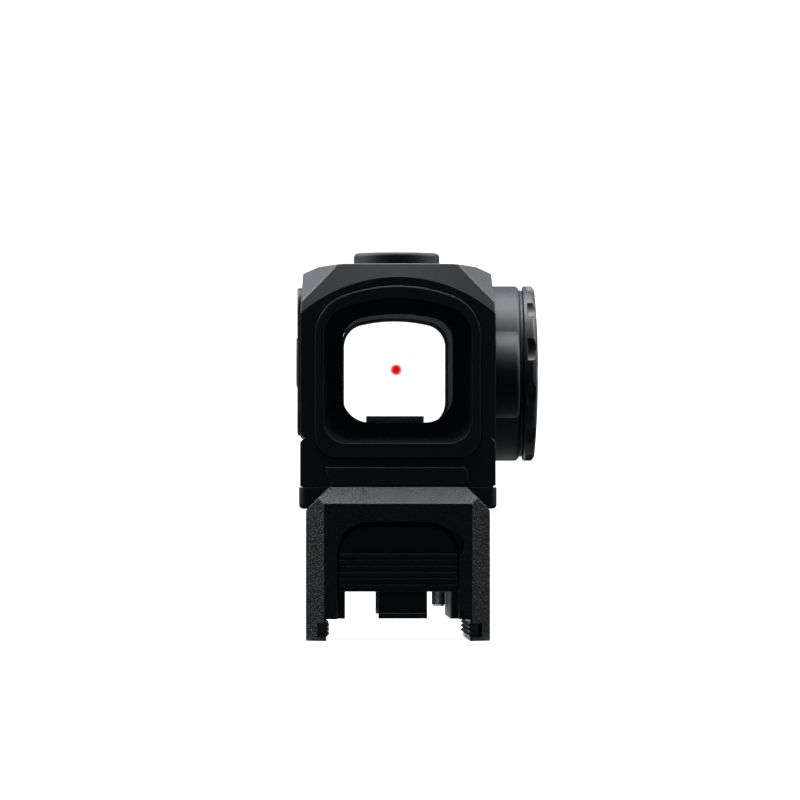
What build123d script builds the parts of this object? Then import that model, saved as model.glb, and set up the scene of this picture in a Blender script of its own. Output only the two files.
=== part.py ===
from build123d import *
import os

os.makedirs("parts", exist_ok=True)

# Enclosed red dot finder on a quick-release rail foot, in millimetres.
# +X is to the right seen from the eye end, +Y points at the target, +Z is up.
# The origin is the middle of the foot's seat, the flat face that rests on the rail.

# Sight housing
BODY_HALF = 13.5          # half the width of the housing
BODY_BASE = 14.6          # underside of the housing
BODY_TOP = 45.3
BODY_REAR = -20.4
BODY_FRONT = 26.6
CREST_HALF = 7.4          # half the flat on top
CORNER_HALF = 13.1        # where the top falls to the side
CORNER_Z = 44.1
GROOVE_Z = 21.2           # V groove along each side
GROOVE_DEPTH = 0.6
FACET_SIDE_Z = 39.6       # where a corner facet meets the side
FACET_RUN = 9.0           # how far a corner facet runs forward
BROW_CENTRE_Z = 22.9      # the sloped brow over the window is part of a cone
BROW_RADIUS = 20.5

# Optical path, all centred on the window
AXIS_Z = 30.9
WINDOW_HALF = 7.65
WINDOW_LOW = 23.4
WINDOW_HIGH = 38.4
CARRIER_HALF = 8.3
CARRIER_LOW = 22.0
CARRIER_HIGH = 39.3
CAVITY_HALF = 8.8
CAVITY_LOW = 21.4
CAVITY_HIGH = 39.8
BEZEL_HALF = 11.6
BEZEL_LOW = 18.3
BEZEL_HIGH = 42.3
HOOD_HALF = 10.25         # mouth of the rear hood
HOOD_LOW = 20.4
HOOD_HIGH = 40.5
GLASS = 1.5               # window thickness
SEAL = 0.3                # window gasket thickness
REAR_GLASS_Y = -15.6      # outer face of the rear window
CAVITY_REAR = -12.9
CAVITY_FRONT = 21.0
FRONT_GLASS_Y = 22.8      # outer face of the front window
FIT = 0.05                # radial clearance of a pin or shaft in its hole

# Adjusters
TURRET_Y = -5.8
WINDAGE_Z = 30.2
DIAL_RADIUS = 6.0
SKIRT_RADIUS = 4.92
WELL_RADIUS = 5.0
PLUNGER_RADIUS = 1.2
CLICKS = 30

# Battery boss
BOSS_Y = 12.95
BOSS_Z = 30.7
BOSS_RADIUS = 12.45
BOSS_FACE = 17.6
CAP_INNER = 18.1
CAP_FACE = 20.3
PLUG_END = CAP_INNER - 1.65
CHAMBER_RADIUS = 10.2
CHAMBER_FLOOR = 11.7
CELL_RADIUS = 10.0        # 20 mm coin cell
CELL_THICKNESS = 3.2

# Keypad
PLATE_Y = 1.0
PLATE_Z = 32.0
PLATE_LENGTH = 26.0
PLATE_HEIGHT = 20.4
PLATE_FACE = -13.9
BUTTON_FACE = PLATE_FACE - 0.15
BUTTON_PITCH = 9.4
BUTTON_RADIUS = 3.4

# Foot
FOOT_HALF = 12.7
FOOT_END = 23.5           # half the length of the foot
FOOT_LOW = -6.8           # underside of the legs
DECK_Z = 11.4             # floor of the pocket for the adapter plate
WALL_TOP = 14.4
WALL_THICKNESS = 3.0
SHOULDER = 3.2            # 45 degree shoulders beside the rear wall
BEVEL = 2.3               # sloped top edge of the rear wall
CORNER_FACET = 2.5        # facets on the upright rear corners
CHANNEL_HALF = 7.3
LEG_INNER = 9.9
LEDGE_Z = -3.8
RECESS_HALF = 8.4
RECESS_TOP = 9.6
RECESS_DEPTH = 5.7
PLATE_HALF = 13.65        # adapter plate
GIB_THICKNESS = 1.2
GIB_END = 22.3            # half the length of a gib
GIB_TRAVEL = 0.4
SET_SCREW_STATIONS = (-12, 12)
SET_SCREW_Z = -5.3


def section(y):
    """A plane across the line of sight at station y, seen from the eye end."""
    return Plane(origin=(0, y, 0), x_dir=(1, 0, 0), z_dir=(0, -1, 0))


def screen(half_width, low, high, sag, top_radius, low_radius):
    """A flat face with straight sides, an arched top and rounded corners."""
    with BuildSketch() as face:
        with BuildLine():
            Polyline((-half_width, high - sag), (-half_width, low), (half_width, low), (half_width, high - sag))
            ThreePointArc((-half_width, high - sag), (0, high), (half_width, high - sag))
        make_face()
        fillet(face.vertices().group_by(Axis.Y)[-1], top_radius)
        fillet(face.vertices().group_by(Axis.Y)[0], low_radius)
    return face.sketch


def screen_ring(outer, inner):
    """The frame between two of those faces."""
    return outer - inner


def coil(radius, wire, length, turns):
    """A compression spring standing on local zero along +Z."""
    with BuildPart() as spring:
        with BuildLine() as path:
            Helix(pitch=(length - wire) / turns, height=length - wire, radius=radius)
        with BuildSketch(Plane(origin=path.line @ 0, z_dir=path.line % 0)):
            Circle(wire / 2)
        sweep(path=path.line, is_frenet=True)
    return Pos(0, 0, wire / 2) * spring.part


def facet_plane(side):
    """The slanted flat that cuts a rear top corner of the housing."""
    crest = Vector(side * CREST_HALF, BODY_REAR, BODY_TOP)
    flank = Vector(side * BODY_HALF, BODY_REAR, FACET_SIDE_Z)
    ahead = Vector(side * CORNER_HALF, BODY_REAR + FACET_RUN, CORNER_Z)
    normal = (flank - crest).cross(ahead - crest) * side
    return Plane(origin=crest, x_dir=flank - crest, z_dir=normal)


window_face = screen(WINDOW_HALF, WINDOW_LOW, WINDOW_HIGH, 1.3, 3.4, 3.8)
carrier_face = screen(CARRIER_HALF, CARRIER_LOW, CARRIER_HIGH, 1.4, 3.8, 4.2)
carrier_bore = screen(CARRIER_HALF - 0.6, CARRIER_LOW + 0.7, CARRIER_HIGH - 0.6, 1.3, 3.4, 3.8)
cavity_face = screen(CAVITY_HALF, CAVITY_LOW, CAVITY_HIGH, 1.5, 4.0, 4.4)
glass_face = screen(9.5, 21.0, 40.0, 1.6, 4.2, 4.0)
bezel_face = screen(BEZEL_HALF, BEZEL_LOW, BEZEL_HIGH, 3.4, 6.0, 3.2)
hood_mouth = screen(HOOD_HALF, HOOD_LOW, HOOD_HIGH, 2.6, 4.0, 3.2)
front_bezel_face = screen(10.4, 19.6, 41.4, 2.2, 4.6, 4.0)
front_mouth = screen(9.2, 21.6, 40.2, 2.0, 4.2, 3.8)
keypad_slots = [(PLATE_Y + y, PLATE_Z + z) for y in (-11.6, 11.6) for z in (-6, 6)]
button_places = {"up": PLATE_Y + BUTTON_PITCH / 2, "down": PLATE_Y - BUTTON_PITCH / 2}
sight_screw_places = [(x, y) for x in (-9.5, 9.5) for y in (-13, 17)]
plate_screw_places = [(0, -8), (0, 17)]
peg_places = [(-9.5, 2), (9.5, 2)]

# ---------------------------------------------------------------- sight

# Housing, milled from one aluminium block.
with BuildPart() as housing:
    with BuildSketch(section(BODY_REAR)):
        with BuildLine():
            Polyline(
                (0, BODY_BASE),
                (BODY_HALF, BODY_BASE),
                (BODY_HALF, GROOVE_Z - GROOVE_DEPTH),
                (BODY_HALF - GROOVE_DEPTH, GROOVE_Z),
                (BODY_HALF, GROOVE_Z + GROOVE_DEPTH),
                (BODY_HALF, 38),
                (CORNER_HALF, CORNER_Z),
                (10.9, 45.0),
                (CREST_HALF, BODY_TOP),
                (0, BODY_TOP),
            )
            mirror(about=Plane.YZ)
        make_face()
    extrude(amount=BODY_REAR - BODY_FRONT)
    chamfer(housing.faces().sort_by(Axis.Y)[-1].edges().group_by(Axis.Z)[-1], 2.0)
    chamfer(housing.faces().sort_by(Axis.Y)[-1].edges().group_by(Axis.Z)[0], 1.2)
    for side in (1, -1):
        split(bisect_by=facet_plane(side), keep=Keep.BOTTOM)
    # The brow: a cone about the line of sight trims the top rear edge to an arch.
    with BuildSketch(Plane.YZ):
        with BuildLine():
            Polyline(
                (BODY_REAR - 0.5, BROW_CENTRE_Z + BROW_RADIUS - 1),
                (BODY_REAR + 3, BROW_CENTRE_Z + BROW_RADIUS + 6),
                (BODY_REAR - 0.5, BROW_CENTRE_Z + BROW_RADIUS + 6),
                close=True,
            )
        make_face()
    revolve(axis=Axis((0, 0, BROW_CENTRE_Z), (0, 1, 0)), mode=Mode.SUBTRACT)
    # Battery boss with its neck.
    with BuildSketch(Plane.YZ.offset(BODY_HALF - 1)):
        with Locations((BOSS_Y, BOSS_Z)):
            Circle(BOSS_RADIUS)
    extrude(amount=BOSS_FACE - BODY_HALF + 1)
    chamfer(housing.faces().sort_by(Axis.X)[-1].edges(), 0.4)
    with BuildSketch(Plane.YZ.offset(BOSS_FACE)):
        with Locations((BOSS_Y, BOSS_Z)):
            Circle(BOSS_RADIUS - 0.6)
    extrude(amount=CAP_INNER - 0.05 - BOSS_FACE)
    # Pad across the lower rear face, notched at its left end.
    with BuildSketch(section(BODY_REAR + 0.1)):
        with BuildLine():
            Polyline((-9.2, BODY_BASE), (9.0, BODY_BASE), (9.6, 15.2), (9.6, 16.6), (9.1, 17.1),
                     (-9.9, 17.1), (-9.9, 16.6), (-9.2, BODY_BASE + 0.6), close=True)
        make_face()
    extrude(amount=0.6)
    # Optical tunnel, from the rear pocket to the front pocket.
    for face, start, end in (
        (bezel_face, BODY_REAR, REAR_GLASS_Y),
        (glass_face, REAR_GLASS_Y, REAR_GLASS_Y + GLASS + SEAL),
        (window_face, REAR_GLASS_Y + GLASS + SEAL, CAVITY_REAR),
        (cavity_face, CAVITY_REAR, CAVITY_FRONT),
        (glass_face, CAVITY_FRONT, FRONT_GLASS_Y),
        (front_bezel_face, FRONT_GLASS_Y, BODY_FRONT),
    ):
        with BuildSketch(section(start)):
            add(face)
        extrude(amount=start - end, mode=Mode.SUBTRACT)
    # Battery chamber.
    for radius, start, end in ((CHAMBER_RADIUS, CHAMBER_FLOOR, CAP_INNER), (11.3, PLUG_END - 0.1, CAP_INNER)):
        with BuildSketch(Plane.YZ.offset(start)):
            with Locations((BOSS_Y, BOSS_Z)):
                Circle(radius)
        extrude(amount=end - start, mode=Mode.SUBTRACT)
    # Dial wells, with a groove for the snap ring and a guide for the plunger.
    for plane, place, top, floor, inner in (
        (Plane.XY, (0, TURRET_Y), BODY_TOP, BODY_TOP - 3.2, CAVITY_HIGH - 1),
        (Plane.YZ, (TURRET_Y, WINDAGE_Z), BODY_HALF, BODY_HALF - 3.2, CAVITY_HALF - 1),
    ):
        for radius, start, end in (
            (WELL_RADIUS, floor, top + 1),
            (WELL_RADIUS + 0.55, floor + 0.5, floor + 1.1),
            (PLUNGER_RADIUS + FIT, inner, floor),
        ):
            with BuildSketch(plane.offset(start)):
                with Locations(place):
                    Circle(radius)
            extrude(amount=end - start, mode=Mode.SUBTRACT)
    # Click ball holes, crosswise to each dial, behind it.
    with BuildSketch(section(TURRET_Y - WELL_RADIUS + 0.3)):
        with Locations((0, BODY_TOP - 1.2)):
            Circle(0.66)
    extrude(amount=3.6, mode=Mode.SUBTRACT)
    with BuildSketch(section(TURRET_Y - WELL_RADIUS + 0.3)):
        with Locations((BODY_HALF - 1.2, WINDAGE_Z)):
            Circle(0.66)
    extrude(amount=3.6, mode=Mode.SUBTRACT)
    # Keypad recess and the electronics pocket behind it.
    for length, height, depth, radius in (
        (PLATE_LENGTH + 0.1, PLATE_HEIGHT + 0.1, 0.85, 3.0),
        (PLATE_LENGTH - 6, PLATE_HEIGHT - 4.4, 3.5, 2.0),
    ):
        with BuildSketch(Plane.YZ.offset(-BODY_HALF)):
            with Locations((PLATE_Y, PLATE_Z)):
                RectangleRounded(length, height, radius)
        extrude(amount=depth, mode=Mode.SUBTRACT)
    with BuildSketch(Plane.YZ.offset(-BODY_HALF)):
        with Locations(*keypad_slots):
            Circle(0.78)
    extrude(amount=3.4, mode=Mode.SUBTRACT)
    # Spring well under the carrier, screw holes and peg holes in the base.
    with BuildSketch(Plane.XY.offset(17.6)):
        with Locations((0, TURRET_Y)):
            Circle(1.7)
    extrude(amount=4.2, mode=Mode.SUBTRACT)
    with BuildSketch(Plane.XY.offset(BODY_BASE)):
        with Locations(*sight_screw_places):
            Circle(1.27)
    extrude(amount=5, mode=Mode.SUBTRACT)
    with BuildSketch(Plane.XY.offset(BODY_BASE)):
        with Locations(*peg_places):
            Circle(1.52)
    extrude(amount=1.8, mode=Mode.SUBTRACT)
housing.part.label = "housing"
export_step(housing.part, "parts/housing.step")

# Rear bezel: a pressed-in hood whose funnel ends at the rear window.
with BuildPart() as rear_bezel:
    with BuildSketch(section(BODY_REAR - 0.15)):
        add(screen(BEZEL_HALF - 0.03, BEZEL_LOW + 0.03, BEZEL_HIGH - 0.03, 3.4, 6.0, 3.2))
    extrude(amount=BODY_REAR - 0.15 - REAR_GLASS_Y)
    chamfer(rear_bezel.faces().sort_by(Axis.Y)[0].edges(), 0.2)
    with BuildSketch(section(BODY_REAR - 0.2)):
        add(hood_mouth)
    with BuildSketch(section(BODY_REAR + 1.2)):
        add(screen(HOOD_HALF - 0.5, HOOD_LOW + 0.5, HOOD_HIGH - 0.5, 2.4, 3.9, 3.3))
    loft(mode=Mode.SUBTRACT)
    with BuildSketch(section(BODY_REAR + 1.2)):
        add(screen(HOOD_HALF - 0.5, HOOD_LOW + 0.5, HOOD_HIGH - 0.5, 2.4, 3.9, 3.3))
    with BuildSketch(section(REAR_GLASS_Y)):
        add(window_face)
    loft(mode=Mode.SUBTRACT)
rear_bezel.part.label = "rear_bezel"
export_step(rear_bezel.part, "parts/rear_bezel.step")

# Rear window, a flat coated plate.
with BuildPart() as rear_window:
    with BuildSketch(section(REAR_GLASS_Y)):
        add(screen(9.45, 21.05, 39.95, 1.6, 4.2, 4.0))
    extrude(amount=-GLASS)
rear_window.part.label = "rear_window"
export_step(rear_window.part, "parts/rear_window.step")

# Window seals, one behind each pane.
with BuildPart() as rear_window_seal:
    with BuildSketch(section(REAR_GLASS_Y + GLASS)):
        add(screen_ring(glass_face, screen(WINDOW_HALF + 0.1, WINDOW_LOW - 0.1, WINDOW_HIGH + 0.1, 1.3, 3.4, 3.8)))
    extrude(amount=-SEAL)
rear_window_seal.part.label = "rear_window_seal"
export_step(rear_window_seal.part, "parts/rear_window_seal.step")

with BuildPart() as front_window_seal:
    with BuildSketch(section(CAVITY_FRONT)):
        add(screen_ring(glass_face, screen(8.9, 21.5, 39.4, 1.5, 4.0, 3.9)))
    extrude(amount=-SEAL)
front_window_seal.part.label = "front_window_seal"
export_step(front_window_seal.part, "parts/front_window_seal.step")

# Front window.
with BuildPart() as front_window:
    with BuildSketch(section(CAVITY_FRONT + SEAL)):
        add(screen(9.45, 21.05, 39.95, 1.6, 4.2, 4.0))
    extrude(amount=-GLASS)
front_window.part.label = "front_window"
export_step(front_window.part, "parts/front_window.step")

# Front bezel: short hood that holds the front window.
with BuildPart() as front_bezel:
    with BuildSketch(section(FRONT_GLASS_Y)):
        add(screen(10.37, 19.63, 41.37, 2.2, 4.6, 4.0))
    extrude(amount=FRONT_GLASS_Y - BODY_FRONT - 0.15)
    chamfer(front_bezel.faces().sort_by(Axis.Y)[-1].edges(), 0.25)
    with BuildSketch(section(FRONT_GLASS_Y)):
        add(screen(WINDOW_HALF + 0.15, WINDOW_LOW - 0.1, WINDOW_HIGH + 0.1, 1.3, 3.4, 3.8))
    with BuildSketch(section(BODY_FRONT + 0.2)):
        add(front_mouth)
    loft(mode=Mode.SUBTRACT)
front_bezel.part.label = "front_bezel"
export_step(front_bezel.part, "parts/front_bezel.step")

# ---------------------------------------------------------------- optics carrier

# Carrier: the sleeve that holds the emitter and the reflector, and tilts to zero the dot.
with BuildPart() as optics_carrier:
    with BuildSketch(section(CAVITY_REAR + 0.6)):
        add(screen_ring(carrier_face, carrier_bore))
    extrude(amount=CAVITY_REAR + 0.6 - 19.6)
optics_carrier.part.label = "optics_carrier"
export_step(optics_carrier.part, "parts/optics_carrier.step")

# Reflector: the coated front lens, with a curved rear face.
with BuildPart() as reflector_lens:
    with BuildSketch(section(16.4)):
        add(screen(7.65, CARRIER_LOW + 0.75, CARRIER_HIGH - 0.65, 1.3, 3.4, 3.8))
    extrude(amount=-2.0)
    with Locations((0, 16.4 + 1.2 - 75, AXIS_Z)):
        Sphere(75, mode=Mode.SUBTRACT)
reflector_lens.part.label = "reflector_lens"
export_step(reflector_lens.part, "parts/reflector_lens.step")

with BuildPart() as lens_retainer:
    with BuildSketch(section(18.4)):
        add(screen_ring(
            screen(7.65, CARRIER_LOW + 0.75, CARRIER_HIGH - 0.65, 1.3, 3.4, 3.8),
            screen(7.3, CARRIER_LOW + 1.1, CARRIER_HIGH - 1.0, 1.3, 3.2, 3.6)))
    extrude(amount=-0.8)
lens_retainer.part.label = "lens_retainer"
export_step(lens_retainer.part, "parts/lens_retainer.step")

# Emitter block on the carrier's floor, with the light source in its front slope.
with BuildPart() as emitter_block:
    with BuildSketch(Plane.YZ.offset(-4.3)):
        with BuildLine():
            Polyline((-12.0, 22.72), (-12.0, 24.3), (-8.4, 24.3), (-6.6, 22.72), close=True)
        make_face()
    extrude(amount=8.0)
    with BuildSketch(Plane(origin=(-0.3, -7.5, 23.51), z_dir=(0, 1.58, 1.8))):
        Circle(0.55)
    extrude(amount=-0.7, mode=Mode.SUBTRACT)
emitter_block.part.label = "emitter_block"
export_step(emitter_block.part, "parts/emitter_block.step")

with BuildPart() as emitter:
    with BuildSketch(Plane(origin=(-0.3, -7.5, 23.51), z_dir=(0, 1.58, 1.8)).offset(-0.68)):
        Circle(0.5)
    extrude(amount=0.5)
    fillet(emitter.faces().sort_by(Axis.Y)[-1].edges(), 0.2)
emitter.part.label = "emitter"
export_step(emitter.part, "parts/emitter.step")

# Gimbal ring between the housing and the carrier's front end.
with BuildPart() as pivot_ring:
    with BuildSketch(section(19.9)):
        add(screen_ring(
            screen(8.4, CARRIER_LOW - 0.1, CARRIER_HIGH + 0.1, 1.4, 3.9, 4.2),
            screen(7.7, CARRIER_LOW + 0.6, CARRIER_HIGH - 0.6, 1.3, 3.4, 3.8)))
    extrude(amount=-0.7)
pivot_ring.part.label = "pivot_ring"
export_step(pivot_ring.part, "parts/pivot_ring.step")

# Springs that press the carrier against the two plungers.
with BuildPart() as lift_spring:
    with Locations((0, TURRET_Y, 17.6)):
        add(coil(1.25, 0.35, 4.35, 4))
lift_spring.part.label = "lift_spring"
export_step(lift_spring.part, "parts/lift_spring.step")

with BuildPart() as side_spring:
    with BuildSketch(Plane.XY.offset(28)):
        with BuildLine():
            bow = ThreePointArc((-8.72, TURRET_Y - 6), (-8.4, TURRET_Y), (-8.72, TURRET_Y + 6))
            offset(bow, amount=0.06, side=Side.BOTH)
        make_face()
    extrude(amount=5)
side_spring.part.label = "side_spring"
export_step(side_spring.part, "parts/side_spring.step")

# ---------------------------------------------------------------- adjusters


def dial(radius, head):
    """A slotted dial standing on +Z: its well's mouth is at zero and its head above it."""
    with BuildPart() as turned:
        with BuildSketch(Plane.XY.offset(0.1)):
            Circle(radius)
        extrude(amount=head)
        fillet(turned.edges().group_by(Axis.Z)[-1], 0.55)
        chamfer(turned.edges().group_by(Axis.Z)[0], 0.15)
        with BuildSketch(Plane.XY.offset(-3.1)):
            Circle(SKIRT_RADIUS)
        extrude(amount=3.2)
        # Snap ring groove, seal groove, click grooves, plunger bore and coin slot.
        for low, height, depth in ((-2.75, 0.7, 0.6), (-0.72, 0.72, 0.62)):
            with BuildSketch(Plane.XY.offset(low)):
                Circle(SKIRT_RADIUS + 0.1)
                Circle(SKIRT_RADIUS - depth, mode=Mode.SUBTRACT)
            extrude(amount=height, mode=Mode.SUBTRACT)
        with BuildSketch(Plane.XY.offset(-1.6)):
            with PolarLocations(SKIRT_RADIUS + 0.12, CLICKS):
                Circle(0.32)
        extrude(amount=0.8, mode=Mode.SUBTRACT)
        with BuildSketch(Plane.XY.offset(-3.1)):
            Circle(PLUNGER_RADIUS + FIT)
        extrude(amount=2.9, mode=Mode.SUBTRACT)
        with BuildSketch(Plane.XY.offset(head + 0.1)):
            Rectangle(2 * radius - 3.2, 1.2)
        extrude(amount=-0.8, mode=Mode.SUBTRACT)
    return turned.part


def seal_ring():
    """The O-ring in a dial's upper groove."""
    with BuildPart() as ring:
        with Locations((0, 0, -0.36)):
            Torus(4.63, 0.32)
    return ring.part


def plunger(reach):
    """The keyed pin that a dial drives; its tip reaches down towards the carrier."""
    with BuildPart() as pin:
        with BuildSketch(Plane.XY.offset(-reach)):
            Circle(PLUNGER_RADIUS)
        extrude(amount=reach - 0.7)
        fillet(pin.edges().group_by(Axis.Z)[0], 0.3)
    return pin.part


top_well = Plane(origin=(0, TURRET_Y, BODY_TOP), x_dir=(1, 0, 0), z_dir=(0, 0, 1))
side_well = Plane(origin=(BODY_HALF, TURRET_Y, WINDAGE_Z), x_dir=(0, 0, 1), z_dir=(1, 0, 0))
PLUNGER_GAP = 0.06        # left between a plunger's tip and the carrier

with BuildPart() as elevation_dial:
    with Locations(top_well):
        add(dial(DIAL_RADIUS, 1.75))
elevation_dial.part.label = "elevation_dial"
export_step(elevation_dial.part, "parts/elevation_dial.step")

with BuildPart() as windage_dial:
    with Locations(side_well):
        add(dial(DIAL_RADIUS + 0.05, 3.5))
windage_dial.part.label = "windage_dial"
export_step(windage_dial.part, "parts/windage_dial.step")

with BuildPart() as elevation_seal:
    with Locations(top_well):
        add(seal_ring())
elevation_seal.part.label = "elevation_seal"
export_step(elevation_seal.part, "parts/elevation_seal.step")

with BuildPart() as windage_seal:
    with Locations(side_well):
        add(seal_ring())
windage_seal.part.label = "windage_seal"
export_step(windage_seal.part, "parts/windage_seal.step")

with BuildPart() as elevation_plunger:
    with Locations(top_well):
        add(plunger(BODY_TOP - CARRIER_HIGH - PLUNGER_GAP))
elevation_plunger.part.label = "elevation_plunger"
export_step(elevation_plunger.part, "parts/elevation_plunger.step")

with BuildPart() as windage_plunger:
    with Locations(side_well):
        add(plunger(BODY_HALF - CARRIER_HALF - PLUNGER_GAP))
windage_plunger.part.label = "windage_plunger"
export_step(windage_plunger.part, "parts/windage_plunger.step")

# Snap rings, one in each well, that keep the dials in.
with BuildPart() as dial_snap_rings:
    for well in (top_well, side_well):
        with BuildSketch(well.offset(-2.68)):
            Circle(WELL_RADIUS + 0.5)
            Circle(SKIRT_RADIUS - 0.5, mode=Mode.SUBTRACT)
            with Locations((WELL_RADIUS, 0)):
                Rectangle(3, 1.6, mode=Mode.SUBTRACT)
        extrude(amount=0.55)
dial_snap_rings.part.label = "dial_snap_rings"
export_step(dial_snap_rings.part, "parts/dial_snap_rings.step")

# Click balls with their springs, in the holes behind the dials.
click_places = [(0, BODY_TOP - 1.2), (BODY_HALF - 1.2, WINDAGE_Z)]
with BuildPart() as click_balls:
    with Locations(*[(x, TURRET_Y - SKIRT_RADIUS - 0.64, z) for x, z in click_places]):
        Sphere(0.6)
click_balls.part.label = "click_balls"
export_step(click_balls.part, "parts/click_balls.step")

with BuildPart() as click_springs:
    for x, z in click_places:
        with Locations(Plane(origin=(x, TURRET_Y - SKIRT_RADIUS - 1.26, z), x_dir=(1, 0, 0), z_dir=(0, -1, 0))):
            add(coil(0.45, 0.16, 1.9, 5))
click_springs.part.label = "click_springs"
export_step(click_springs.part, "parts/click_springs.step")

# ---------------------------------------------------------------- battery

# Conical contact spring under the cell.
with BuildPart() as battery_spring:
    with BuildSketch(Plane.XY):
        with BuildLine():
            Polyline((CHAMBER_FLOOR, 8.2), (CHAMBER_FLOOR, 7.4), (CHAMBER_FLOOR + 1.15, 3.4),
                     (CHAMBER_FLOOR + 1.4, 3.4), (CHAMBER_FLOOR + 0.25, 7.6), (CHAMBER_FLOOR + 0.25, 8.2), close=True)
        make_face()
    revolve(axis=Axis.X)
battery_spring.part = Pos(0, BOSS_Y, BOSS_Z) * battery_spring.part
battery_spring.part.label = "battery_spring"
export_step(battery_spring.part, "parts/battery_spring.step")

with BuildPart() as battery:
    with BuildSketch(Plane.YZ.offset(CHAMBER_FLOOR + 1.5)):
        with Locations((BOSS_Y, BOSS_Z)):
            Circle(CELL_RADIUS - 1.2)
    extrude(amount=0.6)
    with BuildSketch(Plane.YZ.offset(CHAMBER_FLOOR + 1.9)):
        with Locations((BOSS_Y, BOSS_Z)):
            Circle(CELL_RADIUS)
    extrude(amount=CELL_THICKNESS - 0.4)
    fillet(battery.edges().group_by(Axis.X)[-1], 0.4)
battery.part.label = "battery"
export_step(battery.part, "parts/battery.step")

# Contact disc, floating in the cap: it moves out with the cap but doesn't turn.
with BuildPart() as cap_contact:
    with BuildSketch(Plane.YZ.offset(CHAMBER_FLOOR + 1.5 + CELL_THICKNESS + 0.02)):
        with Locations((BOSS_Y, BOSS_Z)):
            Circle(8.0)
    extrude(amount=0.4)
    with BuildSketch(Plane.YZ.offset(CHAMBER_FLOOR + 1.9 + CELL_THICKNESS + 0.02)):
        with Locations((BOSS_Y, BOSS_Z)):
            Circle(2.0)
    extrude(amount=0.8)
cap_contact.part.label = "cap_contact"
export_step(cap_contact.part, "parts/cap_contact.step")

# Battery cap: domed disc with a notched edge and a plug that carries the thread.
with BuildPart() as battery_cap:
    with BuildSketch(Plane.XY):
        with BuildLine():
            edge = Polyline((CAP_INNER, 0), (CAP_INNER, BOSS_RADIUS - 0.15), (CAP_INNER + 0.15, BOSS_RADIUS),
                            (CAP_FACE - 0.9, BOSS_RADIUS), (CAP_FACE - 0.5, BOSS_RADIUS - 0.5))
            dome = ThreePointArc(edge @ 1, (CAP_FACE - 0.1, 6.4), (CAP_FACE, 0))
            Line(dome @ 1, edge @ 0)
        make_face()
    revolve(axis=Axis.X)
    with BuildSketch(Plane.YZ.offset(PLUG_END)):
        Circle(11.24)
    extrude(amount=CAP_INNER - PLUG_END)
    # Thumb notches round the edge, a coin slot, the seal groove and the contact's seat.
    with BuildSketch(Plane.YZ.offset(CAP_INNER + 0.5)):
        with PolarLocations(BOSS_RADIUS + 2.3, 12, start_angle=15):
            Circle(2.9)
    extrude(amount=4, mode=Mode.SUBTRACT)
    with BuildSketch(Plane.YZ.offset(CAP_FACE - 0.9)):
        Rectangle(15, 1.6)
    extrude(amount=2, mode=Mode.SUBTRACT)
    with BuildSketch(Plane.YZ.offset(PLUG_END + 0.65)):
        Circle(11.6)
        Circle(10.55, mode=Mode.SUBTRACT)
    extrude(amount=0.75, mode=Mode.SUBTRACT)
    with BuildSketch(Plane.YZ.offset(PLUG_END)):
        Circle(8.2)
    extrude(amount=0.5, mode=Mode.SUBTRACT)
    with BuildSketch(Plane.YZ.offset(PLUG_END + 0.45)):
        Circle(2.0 + FIT)
    extrude(amount=0.9, mode=Mode.SUBTRACT)
battery_cap.part = Pos(0, BOSS_Y, BOSS_Z) * battery_cap.part
battery_cap.part.label = "battery_cap"
export_step(battery_cap.part, "parts/battery_cap.step")

with BuildPart() as battery_cap_seal:
    with Locations(Plane(origin=(PLUG_END + 1.03, BOSS_Y, BOSS_Z), z_dir=(1, 0, 0))):
        Torus(10.91, 0.33)
battery_cap_seal.part.label = "battery_cap_seal"
export_step(battery_cap_seal.part, "parts/battery_cap_seal.step")

# ---------------------------------------------------------------- keypad

with BuildPart() as keypad_gasket:
    with BuildSketch(Plane.YZ.offset(-BODY_HALF + 0.55)):
        with Locations((PLATE_Y, PLATE_Z)):
            RectangleRounded(PLATE_LENGTH, PLATE_HEIGHT, 3.0)
            RectangleRounded(PLATE_LENGTH - 6, PLATE_HEIGHT - 4.4, 2.0, mode=Mode.SUBTRACT)
        with Locations(*keypad_slots):
            Circle(0.9, mode=Mode.SUBTRACT)
    extrude(amount=0.3)
keypad_gasket.part.label = "keypad_gasket"
export_step(keypad_gasket.part, "parts/keypad_gasket.step")

with BuildPart() as button_plate:
    with BuildSketch(Plane.YZ.offset(PLATE_FACE)):
        with Locations((PLATE_Y, PLATE_Z)):
            RectangleRounded(PLATE_LENGTH, PLATE_HEIGHT, 3.0)
    extrude(amount=-BODY_HALF + 0.55 - PLATE_FACE)
    chamfer(button_plate.faces().sort_by(Axis.X)[0].edges(), 0.18)
    with BuildSketch(Plane.YZ.offset(PLATE_FACE)):
        with Locations(*[(y, PLATE_Z) for y in button_places.values()]):
            Circle(BUTTON_RADIUS + 0.1)
        with Locations(*keypad_slots):
            Circle(0.85)
    extrude(amount=1, mode=Mode.SUBTRACT)
    with BuildSketch(Plane.YZ.offset(PLATE_FACE)):
        with Locations(*keypad_slots):
            Circle(1.25)
    extrude(amount=0.4, mode=Mode.SUBTRACT)
button_plate.part.label = "button_plate"
export_step(button_plate.part, "parts/button_plate.step")

with BuildPart() as keypad_screws:
    with BuildSketch(Plane.YZ.offset(PLATE_FACE + 0.02)):
        with Locations(*keypad_slots):
            Circle(1.2)
    extrude(amount=0.38)
    with BuildSketch(Plane.YZ.offset(PLATE_FACE + 0.4)):
        with Locations(*keypad_slots):
            Circle(0.75)
    extrude(amount=3)
    with BuildSketch(Plane.YZ.offset(PLATE_FACE)):
        with Locations(*keypad_slots):
            RegularPolygon(0.5, 6)
    extrude(amount=0.3, mode=Mode.SUBTRACT)
keypad_screws.part.label = "keypad_screws"
export_step(keypad_screws.part, "parts/keypad_screws.step")


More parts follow.
